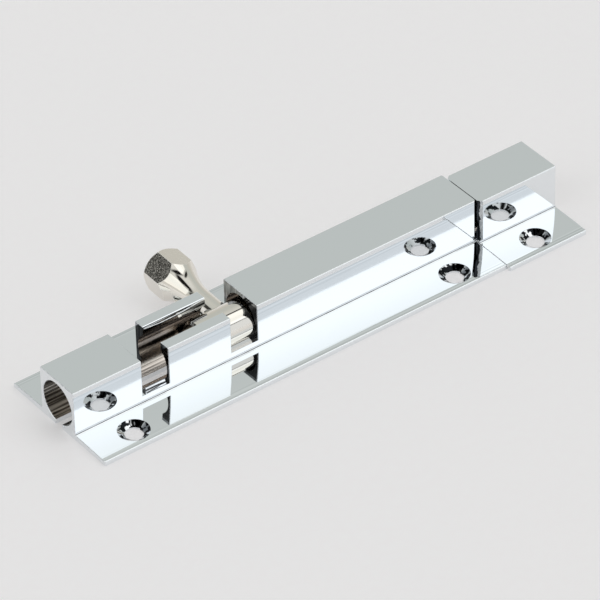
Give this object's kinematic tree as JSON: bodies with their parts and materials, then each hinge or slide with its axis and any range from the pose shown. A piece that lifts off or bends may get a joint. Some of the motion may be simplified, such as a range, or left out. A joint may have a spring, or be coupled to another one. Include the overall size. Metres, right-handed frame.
{
  "type": "furniture bolt",
  "caption": "Surface-mounted barrel bolt with keeper: a round rod slides in a flanged square barrel and locks when its hexagonal side knob turns into a notch.",
  "frame": {"origin": "centre of the barrel's screw pattern, on the flat mounting face", "axes": "+X along the rod towards the keeper, +Y towards the edge where the knob lies, +Z out of the mounting face"},
  "size_m": [0.0962, 0.0316, 0.0093],
  "materials": {
    "bright_chrome": "polished chrome plate",
    "bright_nickel": "bright nickel plate"
  },
  "bodies": {
    "housing": {"barrel": "bright_chrome", "keeper": "bright_chrome"},
    "bolt": {"rod": "bright_nickel", "knob": "bright_nickel"}
  },
  "joints": [
    {"name": "bolt_turn", "type": "hinge", "parent": "housing", "child": "bolt", "pos_m": [-0.00695, -0.00043, 0.00435], "axis": [1, 0, 0], "range_deg": [0, 178]}
  ]
}
